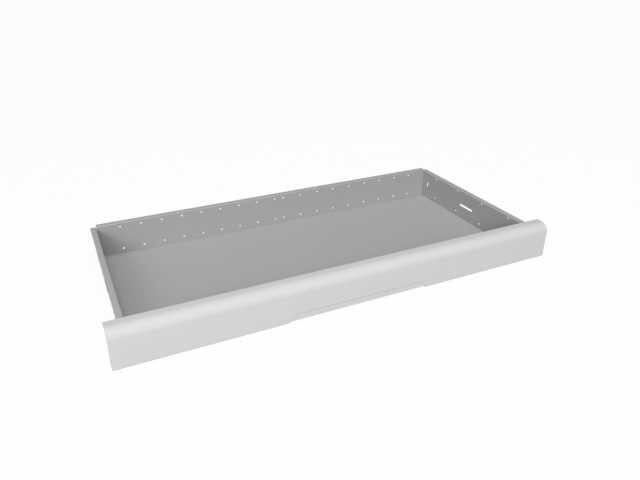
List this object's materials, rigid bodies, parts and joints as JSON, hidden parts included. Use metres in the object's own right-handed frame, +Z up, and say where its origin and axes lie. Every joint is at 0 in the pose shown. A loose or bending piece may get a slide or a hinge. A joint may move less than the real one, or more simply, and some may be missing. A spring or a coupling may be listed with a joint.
{
  "type": "under desk drawer",
  "caption": "Wide shallow steel drawer with perforated tray walls, rounded finger-grip front and slim side-mounted ball runners.",
  "frame": {"origin": "midway between the two runners, at their mid length and centre height, where the desk holds the drawer", "axes": "+X to the right along the drawer's width, -Y towards the user (the front panel faces -Y and the drawer opens along -Y), +Z up"},
  "size_m": [1.007, 0.4718, 0.0871],
  "materials": {
    "tray_paint": "mid grey powder coat, fine texture, semi-matt",
    "front_paint": "light grey powder coat, fine texture, semi-matt",
    "runner_zinc": "bright zinc plated, cold rolled",
    "strip_acetal": "moulded acetal with steel balls",
    "lever_plastic": "moulded, satin",
    "screw_steel": "bright zinc plated",
    "buffer_rubber": "moulded rubber, matt"
  },
  "bodies": {
    "runners": {"left_cabinet_member": "runner_zinc", "right_cabinet_member": "runner_zinc", "left_rear_buffer": "buffer_rubber", "right_rear_buffer": "buffer_rubber"},
    "drawer": {"floor_pan": "tray_paint", "left_side_wall": "tray_paint", "right_side_wall": "tray_paint", "back_wall": "tray_paint", "inner_front_wall": "tray_paint", "front_panel": "front_paint", "front_screw_1": "screw_steel", "front_screw_2": "screw_steel", "front_screw_3": "screw_steel", "front_screw_4": "screw_steel", "front_screw_5": "screw_steel", "front_screw_6": "screw_steel", "left_drawer_member": "runner_zinc", "right_drawer_member": "runner_zinc", "left_lever_rivet": "screw_steel", "right_lever_rivet": "screw_steel"},
    "left_balls": {"left_upper_ball_strip": "strip_acetal", "left_lower_ball_strip": "strip_acetal"},
    "right_balls": {"right_upper_ball_strip": "strip_acetal", "right_lower_ball_strip": "strip_acetal"},
    "left_lever": {"left_release_lever": "lever_plastic"},
    "right_lever": {"right_release_lever": "lever_plastic"}
  },
  "joints": [
    {"name": "drawer_slide", "type": "slide", "parent": "runners", "child": "drawer", "axis": [0, -1, 0], "range_m": [0, 0.3]},
    {"name": "left_ball_travel", "type": "slide", "parent": "runners", "child": "left_balls", "axis": [0, -1, 0], "range_m": [0, 0.15]},
    {"name": "right_ball_travel", "type": "slide", "parent": "runners", "child": "right_balls", "axis": [0, -1, 0], "range_m": [0, 0.15]},
    {"name": "left_lever_pivot", "type": "hinge", "parent": "drawer", "child": "left_lever", "pos_m": [-0.47, 0.11, 0], "axis": [1, 0, 0], "range_deg": [-8, 8], "stiffness_Nm_per_rad": 0.05},
    {"name": "right_lever_pivot", "type": "hinge", "parent": "drawer", "child": "right_lever", "pos_m": [0.47, 0.11, 0], "axis": [1, 0, 0], "range_deg": [-8, 8], "stiffness_Nm_per_rad": 0.05}
  ],
  "couplings": [
    {"joint": "left_ball_travel", "follows": "drawer_slide", "ratio": 0.5},
    {"joint": "right_ball_travel", "follows": "drawer_slide", "ratio": 0.5}
  ]
}
